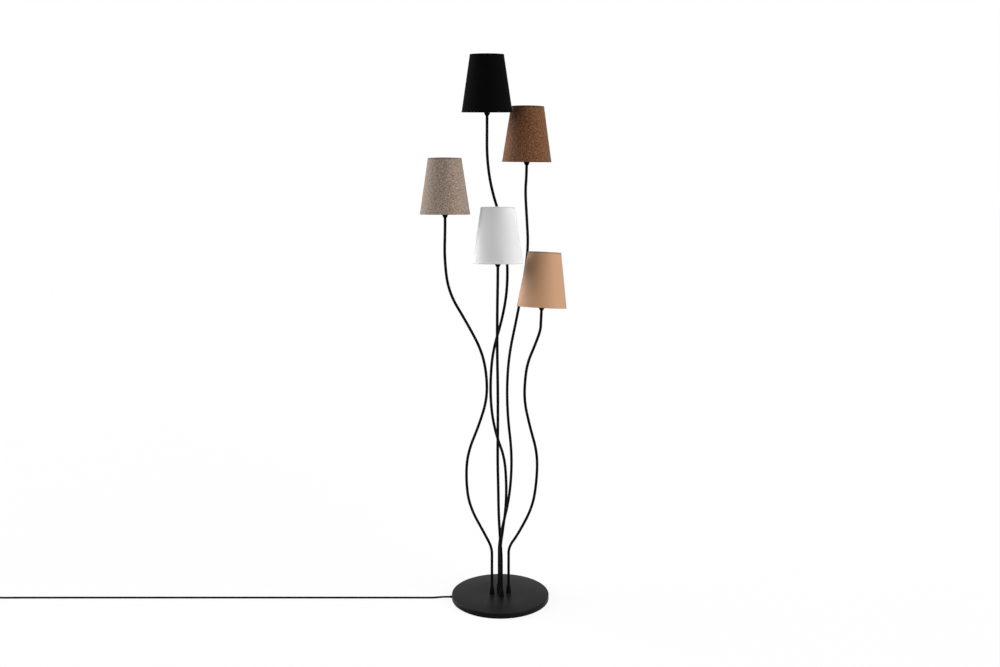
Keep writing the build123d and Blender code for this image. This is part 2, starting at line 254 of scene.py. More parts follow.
print("hard finishes made")


# Cloth. Its pattern follows the flat cut, which the map named flatCut holds in metres.

shade = {
    "low": 73.0, "high": 48.5, "tall": 161.0, "roll": 4.3, "rollTall": 5.4, "bead": 0.3, "beadTall": 3.6,
    "beadEnd": 0.8, "lining": 1.1, "liningGap": 0.6, "liningIn": 0.7, "liningEdge": 0.4, "skin": 0.1,
    "lapWide": 7.0, "lapProud": 0.35, "steps": 168,
}
slant = hypot(shade["tall"], shade["low"] - shade["high"])
lowReach = shade["low"] * slant / (shade["low"] - shade["high"])  # from the cone's tip to the lower rim
highReach = lowReach - slant

clothLooks = {
    "black": {
        "main": (0.0024, 0.0023, 0.0024), "dark": (0.0018, 0.0017, 0.0018), "light": (0.0036, 0.0034, 0.0036),
        "thread": 0.62, "melange": 0.25, "fleck": 0.0, "sheen": 0.03, "sheenTint": (0.7, 0.7, 0.7),
        "depth": 0.00010, "level": 0.01, "rough": 0.84,
    },
    "brown": {
        "main": (0.130, 0.051, 0.022), "dark": (0.042, 0.014, 0.006), "light": (0.282, 0.142, 0.074),
        "thread": 1.25, "melange": 0.85, "fleck": 0.85, "sheen": 0.24, "sheenTint": (1.0, 0.86, 0.72),
        "depth": 0.00028, "level": 0.04, "rough": 0.60,
    },
    "grey": {
        "main": (0.245, 0.180, 0.140), "dark": (0.105, 0.074, 0.056), "light": (0.440, 0.355, 0.290),
        "thread": 1.25, "melange": 0.85, "fleck": 0.8, "sheen": 0.4, "sheenTint": (1.0, 0.95, 0.9),
        "depth": 0.00028, "level": 0.07, "rough": 0.60,
    },
    "white": {
        "main": (0.65, 0.65, 0.66), "dark": (0.62, 0.62, 0.63), "light": (0.68, 0.68, 0.69),
        "thread": 0.62, "melange": 0.3, "fleck": 0.0, "sheen": 0.2, "sheenTint": (1.0, 1.0, 1.0),
        # the white cloth's top rim takes less painted shade
        "depth": 0.00010, "level": 0.10, "rough": 0.70, "through": 0.9, "paintedShadeShare": 0.2,
    },
    "tan": {
        "main": (0.45, 0.250, 0.140), "dark": (0.40, 0.218, 0.120), "light": (0.50, 0.285, 0.163),
        "thread": 0.62, "melange": 0.3, "fleck": 0.0, "sheen": 0.5, "sheenTint": (1.0, 0.97, 0.94),
        "depth": 0.00010, "level": 0.20, "rough": 0.62,
    },
}


weave = {  # the painted rim shades are in millimetres, how deep light goes through (throughScale) in metres
    "sheenRough": 0.45, "throughScale": 0.004, "acrossYarn": 0.9, "alongYarn": 95, "cloud": 210,
    "yarnTone": 1.9, "fleckTone": 1.5, "dark": 0.18, "light": 0.84, "toneRough": 0.08, "bump": 0.7,
    "topPaintedShade": 4.2, "lowPaintedShade": 3.0, "paintedShadeEdge": 1200, "paintedShadeTone": 0.3, "topPaintedShare": 0.55, "lowPaintedShare": 0.12,
}


def clothFinish(name, look):
    fixed = {
        "Specular IOR Level": look["level"], "Sheen Weight": look["sheen"],
        "Sheen Roughness": weave["sheenRough"], "Sheen Tint": opaque(look["sheenTint"]),
        "Subsurface Weight": look.get("through", 0.0), "Subsurface Radius": (1, 1, 1),
        "Subsurface Scale": weave["throughScale"],
    }
    finish = Finish(name + "Cloth", fixed)
    cut = finish.add("UVMap", {"uv_map": "flatCut"}, {})
    across = finish.add("SeparateXYZ", {}, {"Vector": cut}, out=0)
    along = finish.add("SeparateXYZ", {}, {"Vector": cut}, out=1)
    thread = look["thread"] / 1000
    warpWave = (across * (pi / thread)).sine()
    weftWave = (along * (pi / thread)).sine()
    over = (warpWave * weftWave * 3 + 0.5).clamped()  # which thread lies on top

    def yarn(stretch):
        place = finish.add("VectorMath", {"operation": "MULTIPLY"}, {0: cut, 1: stretch})
        return finish.noise(place, 1.0, 2.0, 0.6)

    warp = yarn((weave["acrossYarn"] / thread, weave["alongYarn"], 1))
    weft = yarn((weave["alongYarn"], weave["acrossYarn"] / thread, 1))
    tone = weft * over + warp * (1 - over)
    cloud = finish.noise(cut, weave["cloud"], 3.0, 0.65)
    yarnShare, fleckShare = weave["yarnTone"] * look["melange"], weave["fleckTone"] * look["fleck"]
    tone = (tone - 0.5) * yarnShare + (cloud - 0.5) * fleckShare + 0.5
    stops = [(weave["dark"], look["dark"]), (0.5, look["main"]), (weave["light"], look["light"])]
    dyed = finish.add("ValToRGB", {"stops": stops}, {0: tone})
    reach = (across * across + along * along) ** 0.5
    # painted shade: the cloth is darkened near its top rim and its lower rim
    topPaintedShade = ((weave["topPaintedShade"] / 1000 - reach + highReach / 1000) * weave["paintedShadeEdge"]).clamped()
    lowPaintedShade = ((weave["lowPaintedShade"] / 1000 - lowReach / 1000 + reach) * weave["paintedShadeEdge"]).clamped()
    # painted shade: a darker band along each rim, where the cloth is rolled double over the wire ring
    paintedRimShade = topPaintedShade * look.get("paintedShadeShare", weave["topPaintedShare"]) + lowPaintedShade * weave["lowPaintedShare"]
    finish.colour(finish.mixed(paintedRimShade, dyed, opaque(look["main"], weave["paintedShadeTone"])))
    finish.paint(roughness=look["rough"] + tone * weave["toneRough"])
    roundWarp = warpWave * warpWave * (1 - over)
    roundWeft = weftWave * weftWave * over
    finish.bump(roundWarp + roundWeft + cloud * 0.4, look["depth"], weave["bump"])
    return finish.material


cloths = {name: clothFinish(name, look) for name, look in clothLooks.items()}
print("cloths made")


# Camera, light and floor. Angles are in degrees, places in metres, lens and sensor in millimetres.

view = {"spot": (-0.00085, -2.9804, 1.3261), "tilt": 80.6, "lens": 36.58, "sensor": 36, "far": 100}
light = {
    "world": 0.10,
    "left": {"from": -102, "up": 18, "strength": 5.6, "soft": 50},
    "right": {"from": 60, "up": 30, "strength": 4.2, "soft": 46},
}
floorLook = {
    "half": 30.0, "colour": (0.08, 0.08, 0.08), "lift": 0.89, "rough": 0.9, "cloud": 3, "cloudShare": 0.1,
    "cloudTone": 0.97,
}


def makeCamera():
    camera = bpy.data.objects.new("camera", bpy.data.cameras.new("camera"))
    bpy.context.scene.collection.objects.link(camera)
    camera.location = view["spot"]
    camera.rotation_euler = (radians(view["tilt"]), 0, 0)
    camera.data.sensor_width = view["sensor"]
    camera.data.lens = view["lens"]
    camera.data.clip_end = view["far"]
    bpy.context.scene.camera = camera


def makeSun(name, look):
    sun = bpy.data.lights.new(name, "SUN")
    sun.energy = look["strength"]
    sun.angle = radians(look["soft"])
    lamp = bpy.data.objects.new(name, sun)
    bpy.context.scene.collection.objects.link(lamp)
    level, side = radians(look["up"]), radians(look["from"])
    towards = Vector((cos(level) * sin(side), -cos(level) * cos(side), sin(level)))
    lamp.rotation_euler = towards.to_track_quat("Z", "Y").to_euler()


def seenRays(graph):
    kinds = ("Is Camera Ray", "Is Glossy Ray", "Is Transmission Ray")
    direct, glossy, clear = [graph.add("LightPath", {}, {}, out=kind) for kind in kinds]
    return (direct + glossy + clear).clamped()


def makeWorld():
    world = bpy.data.worlds.new("paleStudio")
    world.use_nodes = True
    graph = Graph(world.node_tree)
    seen = seenRays(graph)
    backdrop = world.node_tree.nodes["Background"]
    graph.feed(backdrop.inputs["Color"], plainWhite)
    graph.feed(backdrop.inputs["Strength"], seen * (1 - light["world"]) + light["world"])
    bpy.context.scene.world = world


def makeFloor():
    finish = Finish("paleFloor", {"Roughness": floorLook["rough"], "Specular IOR Level": 0.0})
    cloud = finish.noise(finish.place, floorLook["cloud"], 2.0)
    plain, darker = opaque(floorLook["colour"]), opaque(floorLook["colour"], floorLook["cloudTone"])
    finish.colour(finish.mixed(cloud * floorLook["cloudShare"], plain, darker))
    glow = finish.add("Emission", {}, {"Color": plainWhite, "Strength": seenRays(finish) * floorLook["lift"]})
    base = Wire(finish, finish.shader.outputs[0])
    both = finish.add("AddShader", {}, {0: base, 1: glow})
    finish.feed(finish.tree.nodes["Material Output"].inputs["Surface"], both)
    mesh = bmesh.new()
    bmesh.ops.create_grid(mesh, x_segments=1, y_segments=1, size=floorLook["half"])
    floor = pieceOf("paleFloor", mesh, [finish.material])


def pieceOf(name, mesh, materials):
    data = bpy.data.meshes.new(name)
    mesh.to_mesh(data)
    mesh.free()
    piece = bpy.data.objects.new(name, data)
    bpy.context.scene.collection.objects.link(piece)
    for material in materials:
        data.materials.append(material)
    return piece


makeCamera()
makeSun("leftSoftLight", light["left"])
makeSun("rightSoftLight", light["right"])
makeWorld()
makeFloor()
bpy.context.scene.view_settings.view_transform = "Standard"
print("camera, lights and floor set")


# Making and placing pieces

def smoothed(piece, sharpAbove=38):
    piece.data.shade_smooth()
    piece.data.set_sharp_from_angle(angle=radians(sharpAbove))
    return piece


def mounted(piece, replaced, body="lamp"):
    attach(piece, body)
    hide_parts(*replaced)
    return piece


def spunMesh(outline, steps, closed=True):
    # outline holds (radius, height, softness of that corner)
    mesh = bmesh.new()
    corners = [mesh.verts.new((radius / 1000, 0, height / 1000)) for radius, height, soft in outline]
    for first, second in zip(corners, corners[1:] + corners[:1] if closed else corners[1:]):
        mesh.edges.new((first, second))
    for corner, (radius, height, soft) in zip(corners, outline):
        if soft:
            bmesh.ops.bevel(
                mesh, geom=[corner], offset=soft / 1000, offset_type="OFFSET", affect="VERTICES",
                segments=4, profile=0.5, material=-1,
            )
    turnMesh(mesh, steps)
    return mesh


def turnMesh(mesh, steps):
    bmesh.ops.spin(
        mesh, geom=mesh.verts[:] + mesh.edges[:], cent=(0, 0, 0), axis=(0, 0, 1), angle=2 * pi,
        steps=steps, use_merge=True,
    )
    bmesh.ops.remove_doubles(mesh, verts=mesh.verts, dist=1e-6)
    bmesh.ops.recalc_face_normals(mesh, faces=mesh.faces)


def spun(name, outline, finish, steps, place=None, closed=True, sharpAbove=38):
    mesh = spunMesh(outline, steps, closed)
    bmesh.ops.transform(mesh, matrix=place or Matrix.Identity(4), verts=mesh.verts)
    return smoothed(pieceOf(name, mesh, [finish]), sharpAbove)


def at(x, y, z):
    return Matrix.Translation((x / 1000, y / 1000, z / 1000))


def turned(degrees, axis):
    return Matrix.Rotation(radians(degrees), 4, axis)


def around(radius, degrees):
    return radius * cos(radians(degrees)), radius * sin(radians(degrees))


def tube(name, points, radius, finish, smoothness, roundness):
    curve = bpy.data.curves.new(name, "CURVE")
    curve.dimensions = "3D"
    curve.resolution_u = smoothness
    curve.bevel_depth = radius / 1000
    curve.bevel_resolution = roundness
    curve.use_fill_caps = True
    line = curve.splines.new("NURBS")
    line.points.add(len(points) - 1)
    for spot, point in zip(line.points, points):
        spot.co = (*point, 1)
    line.order_u = 3
    line.use_endpoint_u = True
    piece = bpy.data.objects.new(name, curve)
    bpy.context.scene.collection.objects.link(piece)
    curve.materials.append(finish)
    return piece


# Mains cord: one line from the base through the foot switch and round the coil to the plug

cord = {  # thick is in millimetres, every other length and place on the cord in metres
    "thick": 6.0, "long": 2.15, "smooth": 12, "round": 5, "coilX": -1.792, "coilY": 0.028,
    "outer": 0.036, "inner": 0.030, "over": 0.033, "low": 0.0031, "high": 0.0084,
    "perTurn": 16, "points": 36, "innerFrom": 15, "overFrom": 30, "liftFrom": 28,
}
cordRoute = [
    (-0.154, -0.008, 0.0074), (-0.176, -0.0078, 0.0074), (-0.208, -0.0054, 0.0031), (-0.240, -0.0044, 0.0031),
    (-1.500, -0.0044, 0.0031), (-1.552, -0.0064, 0.0031), (-1.590, -0.008, 0.008), (-1.606, -0.008, 0.008),
    (-1.644, -0.008, 0.006), (-1.682, -0.008, 0.006),  # under the button's plunger
    (-1.720, -0.008, 0.008), (-1.738, -0.008, 0.008), (-1.768, -0.008, 0.0031), (-1.792, -0.008, 0.0031),
]
plugRoute = [
    (-1.825, 0.028, 0.0084), (-1.825, 0.054, 0.0069), (-1.825, 0.078, 0.0069), (-1.825, 0.083, 0.0069),
]
coilRadii = {14: 0.0354, 30: 0.0303, 31: 0.0326}  # where one turn passes into the next
coilHeights = {28: 0.0042, 29: 0.0065, 30: 0.0092, 31: 0.0093, 32: 0.0085}  # the low hump over earlier turns


def coilPoint(step):
    usual = cord["over"]
    if step < cord["overFrom"]:
        usual = cord["outer"] if step < cord["innerFrom"] else cord["inner"]
    radius = coilRadii.get(step, usual) / cos(pi / cord["perTurn"])
    height = coilHeights.get(step, cord["low"] if step < cord["liftFrom"] else cord["high"])
    angle = -pi / 2 - 2 * pi * (step + 0.5) / cord["perTurn"]
    return cord["coilX"] + radius * cos(angle), cord["coilY"] + radius * sin(angle), height


def makeCord():
    points = cordRoute + [coilPoint(step) for step in range(cord["points"])] + plugRoute
    rubber = finishes["blackRubber"]
    lead = tube("mainsLead", points, cord["thick"] / 2, rubber, cord["smooth"], cord["round"])
    return mounted(lead, ["mains_cord", "cord_coil"])


mainsLead = makeCord()
print("cord laid")


# Base

base = {"radius": 150.0, "top": 17.0, "foot": 1.5, "sheet": 1.2, "edge": 2.5, "rim": 0.5, "steps": 224}


def makeCover():
    inner = base["radius"] - base["sheet"]
    under = base["top"] - base["sheet"]
    outline = [
        (0, base["top"], 0), (base["radius"] * 0.5, base["top"], 0),
        (base["radius"], base["top"], base["edge"]), (base["radius"], base["foot"], base["rim"]),
        (inner, base["foot"], base["rim"]), (inner, under, 1.0),
        (base["radius"] * 0.5, under, 0), (0, under, 0),
    ]
    cover = spun("baseCover", outline, finishes["blackCoat"], base["steps"], closed=False)
    mounted(cover, ["base_cover"])


makeCover()
print("base made")


# Stems and their collars

stems = {
    "radius": 4.0, "coat": 0.15, "foot": 6.0, "ring": 26.0, "turn": 8.5, "below": 42.0, "into": 12.0,
    "smooth": 12, "round": 8,
}
headPlaces = {  # middle of the lower rim, then the lean to -Y and to +X in degrees
    "black": ((-38, -5, 1475.5), 2.6, 0.0),
    "brown": ((78, 62, 1335.5), 0.0, 0.6),
    "grey": ((-160, -20, 1185.5), -2.0, 0.0),
    "white": ((-7, -76, 1048), -4.0, 0.0),
    "tan": ((121, -35, 916.5), -5.8, 2.9),
}
footSides = {"grey": 180.0, "white": 270.0, "tan": 0.0, "brown": 90.0}
# heights of the first bends, which stand straight above the feet
firstBends = {"black": 165, "brown": 165, "grey": 165, "white": 150, "tan": 165}
stemBends = {
    "black": [
        (7, 1, 215), (17, 3, 290), (19, 6, 365), (13, 10, 450), (-13, 12, 519),
        (-28, 15, 599), (-30, 18, 689), (-22, 20, 779), (5, 22, 869), (21, 23, 959),
        (21, 22, 1059), (5, 19, 1160), (-27, 12, 1260), (-39, 3, 1350),
    ],
    "brown": [
        (5, 29, 215), (24, 38, 290), (34, 46, 370), (35, 51, 460), (23, 55, 561),
        (20, 57, 661), (27, 58, 761), (50, 59, 871), (70, 60, 981), (84, 61, 1081), (79, 62, 1171),
        (74, 62, 1250),
    ],
    "grey": [
        (-45, -5, 205), (-94, -10, 300), (-104, -14, 385), (-99, -18, 470),
        (-63, -21, 560), (-39, -22, 640), (-41, -24, 720), (-57, -25, 790), (-99, -26, 870),
        (-152, -26, 960), (-163, -25, 1060),
    ],
    "white": [
        (-1, -32, 210), (-5, -48, 290), (-6, -71, 380), (-8, -88, 470),
        (-7, -95, 570), (-7, -92, 681), (-9, -86, 793), (-9, -82, 883), (-8, -82, 961),
    ],
    "tan": [
        (54, 4, 205), (98, 7, 290), (111, 7, 371), (113, 1, 463), (89, -9, 550),
        (71, -20, 633), (74, -30, 709), (82, -35, 755), (100, -40, 800), (118, -42, 849),
    ],
}
collar = {"low": 7.8, "middle": 7.15, "high": 4.7, "tall": 26.0, "bore": 3.8, "steps": 72}
grubScrew = {
    "up": 11.0, "radius": 1.5, "reach": 6.8, "long": 2.8, "rim": 0.62, "socket": 1.1, "back": 1.4,
    "segments": 24,
}


def headMatrix(name):
    middle, forward, sideways = headPlaces[name]
    return at(*middle) @ turned(forward, "X") @ turned(sideways, "Y")


def footOf(name):
    return around(stems["ring"], footSides[name] + stems["turn"]) if name in footSides else (0, 0)


def stemLine(name):
    x, y = footOf(name)
    bends = [Vector(bend) for bend in stemBends[name]]
    first = firstBends[name]
    steady = first - (bends[0].z - first)  # keeps the foot straight up to its first bend
    low = [Vector((x, y, height)) for height in (stems["foot"], steady, first)]
    head = headMatrix(name)
    ends = [head @ Vector((0, 0, height / 1000)) for height in (-stems["below"], stems["into"])]
    return [point / 1000 for point in low + bends] + ends


def makeStem(name):
    radius = stems["radius"] + stems["coat"]
    coat = finishes["tubeCoat"]
    stem = tube("bentStem." + name, stemLine(name), radius, coat, stems["smooth"], stems["round"])
    mounted(stem, ["stem_" + name])


def collarMesh():
    outline = [
        (collar["bore"], 0, 0), (collar["low"], 0, 0.4),
        (collar["middle"], collar["tall"] * 0.5, 7.0),  # the long soft bend of the bell
        (collar["high"], collar["tall"], 0.5), (collar["bore"], collar["tall"], 0.3),
    ]
    return spunMesh(outline, collar["steps"])


def hexScrewMesh():
    # grub screw with a hexagon socket, its axis along Z and its face at the top
    mesh = bmesh.new()
    radius = grubScrew["radius"] / 1000
    bmesh.ops.create_cone(
        mesh, cap_ends=True, segments=grubScrew["segments"], radius1=radius, radius2=radius,
        depth=grubScrew["long"] / 1000,
    )
    top = max(mesh.faces, key=lambda face: face.calc_center_median().z)
    bmesh.ops.inset_individual(mesh, faces=[top], thickness=grubScrew["rim"] / 1000)
    for vert in top.verts:
        angle = atan2(vert.co.y, vert.co.x)
        side = round(angle / (pi / 3)) * pi / 3  # the middle of the nearest side
        flat = cos(pi / 6) / max(cos(pi / 6), cos(angle - side))
        vert.co.x *= flat
        vert.co.y *= flat
    sunk = bmesh.ops.extrude_discrete_faces(mesh, faces=[top])["faces"]
    bmesh.ops.translate(mesh, vec=(0, 0, -grubScrew["socket"] / 1000), verts=sunk[0].verts)
    bmesh.ops.translate(mesh, vec=(0, 0, -grubScrew["back"] / 1000), verts=mesh.verts)
    return mesh


def makeFeet():
    collars, screws = bmesh.new(), bmesh.new()
    for name in headPlaces:
        x, y = footOf(name)
        side = footSides.get(name, 90.0) + stems["turn"] + 180
        joinInto(collars, collarMesh(), at(x, y, base["top"]))
        outwards = turned(side, "Z") @ at(grubScrew["reach"], 0, grubScrew["up"]) @ turned(90, "Y")
        joinInto(screws, hexScrewMesh(), at(x, y, base["top"]) @ outwards)
    feet = smoothed(pieceOf("stemCollars", collars, [finishes["tubeCoat"]]))
    mounted(feet, ["stem_collars"])
    grubs = smoothed(pieceOf("collarScrews", screws, [finishes["steel"]]), 30)
    mounted(grubs, ["collar_set_screws"])


def joinInto(whole, part, matrix):
    bmesh.ops.transform(part, matrix=matrix, verts=part.verts)
    carried = bpy.data.meshes.new("carried")
    part.to_mesh(carried)
    part.free()
    whole.from_mesh(carried)
    bpy.data.meshes.remove(carried)


makeFeet()
for name in headPlaces:
    makeStem(name)
print("stems and collars made")


# Heads: shade, socket cup, lampholder and bulb, each built round Z from the middle of the shade's lower rim

cup = {
    "low": -9.0, "narrow": 5.5, "wide": 14.8, "step": 13.5, "top": 22.0, "bore": 3.9, "floor": 6.0,
    "gap": 0.1, "steps": 72,
}
holder = {
    "foot": 9.6, "radius": 13.2, "seat": 24.0, "seatRadius": 16.5, "top": 50.0, "socket": 7.1,
    "socketFloor": 30.0, "lip": 1.2, "lipDeep": 1.5, "threadLow": 33.0, "threads": 7, "pitch": 2.2,
    "threadDeep": 0.7, "steps": 64,
}
bulb = {
    "radius": 22.5, "centre": 84.0, "neck": 8.5, "cap": 53.0, "throat": 58.0,
    "globeTurn": 146, "globeSteps": 30, "steps": 72,
}


def wallAt(height):
    return shade["low"] - (shade["low"] - shade["high"]) * height / shade["tall"]


def shadeOutline():
    # the cloth is rolled over the wire ring at each rim, and the lining ends between the rolls
    tall, roll, bead, rim = shade["tall"], shade["roll"], shade["bead"], shade["beadTall"]
    lowStep, highStep = shade["rollTall"], tall - shade["rollTall"]
    beadEnd, liningGap, lining = shade["beadEnd"], shade["liningGap"], shade["lining"]
    return [
        (wallAt(0) + bead, 0, 0.9), (wallAt(rim) + bead, rim, 0.5),
        (wallAt(rim + beadEnd), rim + beadEnd, 0.3),
        (wallAt(tall - rim - beadEnd), tall - rim - beadEnd, 0.3),
        (wallAt(tall - rim) + bead, tall - rim, 0.5), (wallAt(tall) + bead, tall, 0.9),
        (wallAt(tall) - roll, tall, 1.4), (wallAt(highStep) - roll, highStep, 1.4),
        (wallAt(highStep - liningGap) - lining, highStep - liningGap, 0.4),
        (wallAt(lowStep + liningGap) - lining, lowStep + liningGap, 0.4),
        (wallAt(lowStep) - roll, lowStep, 1.4), (wallAt(0) - roll, 0, 1.4),
    ]


hair = 0.001  # far less than a step round the shade, in radians or in millimetres


def frontAngle(x, y):
    return atan2(x, -y)  # nought at the front, half a turn at the glued lap behind


def makeShade(name):
    mesh = spunMesh(shadeOutline(), shade["steps"])
    cut = mesh.loops.layers.uv.new("flatCut")
    spread = (shade["low"] - shade["high"]) / slant
    for face in mesh.faces:
        middle = face.calc_center_median() * 1000
        inner = hypot(middle.x, middle.y) < wallAt(middle.z) - shade["liningIn"]
        margin = shade["rollTall"] + shade["liningEdge"]
        face.material_index = int(inner and margin < middle.z < shade["tall"] - margin)
        for loop in face.loops:
            x, y, z = loop.vert.co * 1000
            angle = frontAngle(x, y)
            if abs(angle) > pi - hair:
                angle = copysign(pi, middle.x)
            reach = (lowReach - z * slant / shade["tall"]) / 1000
            loop[cut].uv = (reach * sin(angle * spread), reach * cos(angle * spread))
    for vert in mesh.verts:
        x, y, z = vert.co * 1000
        radius = hypot(x, y)
        past = (pi - frontAngle(x, y)) * radius  # how far round from the middle of the back
        if radius > wallAt(z) - shade["skin"] and hair < past < shade["lapWide"]:
            vert.co.xy *= 1 + shade["lapProud"] / radius
    bmesh.ops.transform(mesh, matrix=headMatrix(name), verts=mesh.verts)
    piece = smoothed(pieceOf("clothShade." + name, mesh, [cloths[name], finishes["lining"]]), 50)
    mounted(piece, ["shade_" + name])


def makeCup(name):
    outline = [
        (cup["bore"], cup["low"], 0.2), (cup["narrow"], cup["low"], 0.5), (cup["wide"], cup["step"], 1.6),
        (cup["wide"], cup["top"], 0.4), (holder["radius"] + cup["gap"], cup["top"], 0.3),
        (holder["radius"] + cup["gap"], cup["step"], 0.3), (holder["foot"] + cup["gap"], cup["step"], 0),
        (holder["foot"] + cup["gap"], cup["floor"], 0), (cup["bore"], cup["floor"], 0.2),
    ]
    piece = spun("socketCup." + name, outline, finishes["tubeCoat"], cup["steps"], headMatrix(name))
    mounted(piece, ["socket_cup_" + name])


def makeHolder(name):
    outer, foot, seat = holder["radius"], holder["foot"], holder["seatRadius"]
    bore = stems["radius"] - cup["gap"]
    thread = []
    for turn in range(holder["threads"]):
        low = holder["threadLow"] + turn * holder["pitch"]
        thread += [(outer, low, 0.15), (outer - holder["threadDeep"], low + holder["pitch"] / 2, 0.25)]
    outline = [
        (bore, cup["floor"], 0), (foot, cup["floor"], 0), (foot, cup["step"], 0), (outer, cup["step"], 0),
        (outer, cup["top"], 0), (seat, cup["top"], 0.3), (seat, holder["seat"], 0.3),
        (outer, holder["seat"], 0),
        *thread, (outer, holder["top"], 0.8), (holder["socket"] + holder["lip"], holder["top"], 0.5),
        (holder["socket"], holder["top"] - holder["lipDeep"], 0),
        (holder["socket"], holder["socketFloor"], 0), (bore, holder["socketFloor"], 0),
    ]
    plastic, place = finishes["blackPlastic"], headMatrix(name)
    piece = spun("lampholder." + name, outline, plastic, holder["steps"], place, sharpAbove=30)
    mounted(piece, ["lampholder_" + name])


def makeBulb(name):
    mesh = bmesh.new()
    top = mesh.verts.new((0, 0, (bulb["centre"] + bulb["radius"]) / 1000))
    centre = (0, 0, bulb["centre"] / 1000)
    globe = bmesh.ops.spin(
        mesh, geom=[top], cent=centre, axis=(0, 1, 0), angle=radians(bulb["globeTurn"]),
        steps=bulb["globeSteps"],
    )
    last = [part for part in globe["geom_last"] if isinstance(part, bmesh.types.BMVert)][0]
    for radius, height in ((bulb["neck"], bulb["throat"]), (bulb["neck"], bulb["cap"]), (0, bulb["cap"])):
        corner = mesh.verts.new((radius / 1000, 0, height / 1000))
        mesh.edges.new((last, corner))
        last = corner
    turnMesh(mesh, bulb["steps"])
    bmesh.ops.transform(mesh, matrix=headMatrix(name), verts=mesh.verts)
    piece = smoothed(pieceOf("bulb." + name, mesh, [finishes["opal"]]), 60)
    mounted(piece, ["bulb_" + name])


for name in headPlaces:
    makeShade(name)
    makeCup(name)
    makeHolder(name)
    makeBulb(name)
print("heads made")


# Strain reliefs, foot switch and plug on the cord

onLine = {"y": -8, "baseZ": 7.4, "switchZ": 8}  # the cord's own line at the base and in the switch
reliefLook = {
    "long": 20.0, "baseWide": 4.4, "wide": 5.2, "narrow": 3.4, "sunk": 12, "plain": 3.0, "groove": 0.45,
    "land": 1.7, "slot": 1.1, "slope": 0.2, "end": 0.5, "steps": 48,
}


def reliefMesh(length, wide):
    slot, slope, narrow = reliefLook["slot"], reliefLook["slope"], reliefLook["narrow"]
    outline = [(0, 0, 0), (wide, 0, 0.2)]
    height = reliefLook["plain"]
    while height + slot + reliefLook["land"] < length:
        for shift, sunk in ((0, 0), (slope, 1), (slot - slope, 1), (slot, 0)):
            here = height + shift
            radius = wide - (wide - narrow) * here / length
            outline.append((radius - sunk * reliefLook["groove"], here, 0))
        height += slot + reliefLook["land"]
    outline += [(narrow, length, reliefLook["end"]), (0, length, 0)]
    return spunMesh(outline, reliefLook["steps"], closed=False)


def makeReliefs():
    mesh = reliefMesh(reliefLook["long"], reliefLook["baseWide"])
    place = at(-base["radius"] + reliefLook["sunk"], onLine["y"], onLine["baseZ"]) @ turned(-90, "Y")
    bmesh.ops.transform(mesh, matrix=place, verts=mesh.verts)
    piece = smoothed(pieceOf("baseRelief", mesh, [finishes["blackRubber"]]))
    mounted(piece, ["cord_relief"])
    both = bmesh.new()
    for side in (1, -1):
        end = footSwitch["middle"] + side * footSwitch["long"] / 2
        place = at(end, onLine["y"], onLine["switchZ"]) @ turned(side * 90, "Y")
        joinInto(both, reliefMesh(reliefLook["long"], reliefLook["wide"]), place)
    boots = smoothed(pieceOf("switchBoots", both, [finishes["blackRubber"]]))
    return mounted(boots, ["switch_boots"])


footSwitch = {
    "middle": -1663.0, "long": 74.0, "wide": 38.0, "corner": 12.0, "low": 0.1, "split": 8.0, "top": 21.0,
    "wall": 2.2, "foot": 1.2, "edge": 2.4, "seam": 0.35, "well": 12.35, "floor": 3.0, "overcut": 1,
    "button": 12.0, "proud": 25.0, "flange": 13.6, "flangeTop": 18.45, "flangeLow": 16.45,
    "plunger": 3.0, "plungerLow": 12.1, "steps": 64,
}
cornerSteps, rimSteps = 10, 5


def slabMesh(long, wide, low, high, corner, lowEdge, highEdge):
    mesh = bmesh.new()
    bmesh.ops.create_cube(mesh, size=1)
    bmesh.ops.scale(mesh, vec=(long / 1000, wide / 1000, (high - low) / 1000), verts=mesh.verts)
    bmesh.ops.translate(mesh, vec=(0, 0, (high + low) / 2000), verts=mesh.verts)
    upright = [edge for edge in mesh.edges if abs(edge.verts[0].co.z - edge.verts[1].co.z) > 1e-4]
    softenEdges(mesh, upright, corner, cornerSteps)
    for level, edge in ((low, lowEdge), (high, highEdge)):
        rim = [
            side for side in mesh.edges
            if all(abs(vert.co.z - level / 1000) < 1e-6 for vert in side.verts)
        ]
        if edge:
            softenEdges(mesh, rim, edge, rimSteps)
    return mesh


def softenEdges(mesh, edges, width, segments):
    bmesh.ops.bevel(
        mesh, geom=edges, offset=width / 1000, offset_type="OFFSET", affect="EDGES", segments=segments,
        profile=0.5, material=-1, clamp_overlap=True,
    )


def carved(name, mesh, cutters, finish, place):
    # the piece less its cutters, placed once it is cut
    piece = pieceOf(name, mesh, [finish])
    for number, cutter in enumerate(cutters):
        tool = pieceOf(f"{name}Cutter{number}", cutter, [finish])
        cut = piece.modifiers.new("cut", "BOOLEAN")
        cut.operation = "DIFFERENCE"
        cut.solver = "EXACT"
        cut.object = tool
        settled = bpy.data.meshes.new_from_object(piece.evaluated_get(bpy.context.evaluated_depsgraph_get()))
        piece.modifiers.clear()
        piece.data = settled
        bpy.data.objects.remove(tool)
    piece.data.transform(place)
    return smoothed(piece, 32)


def wellMesh(radius, low, high):
    outline = [(0, low, 0), (radius, low, 0), (radius, high, 0), (0, high, 0)]
    return spunMesh(outline, footSwitch["steps"], closed=False)


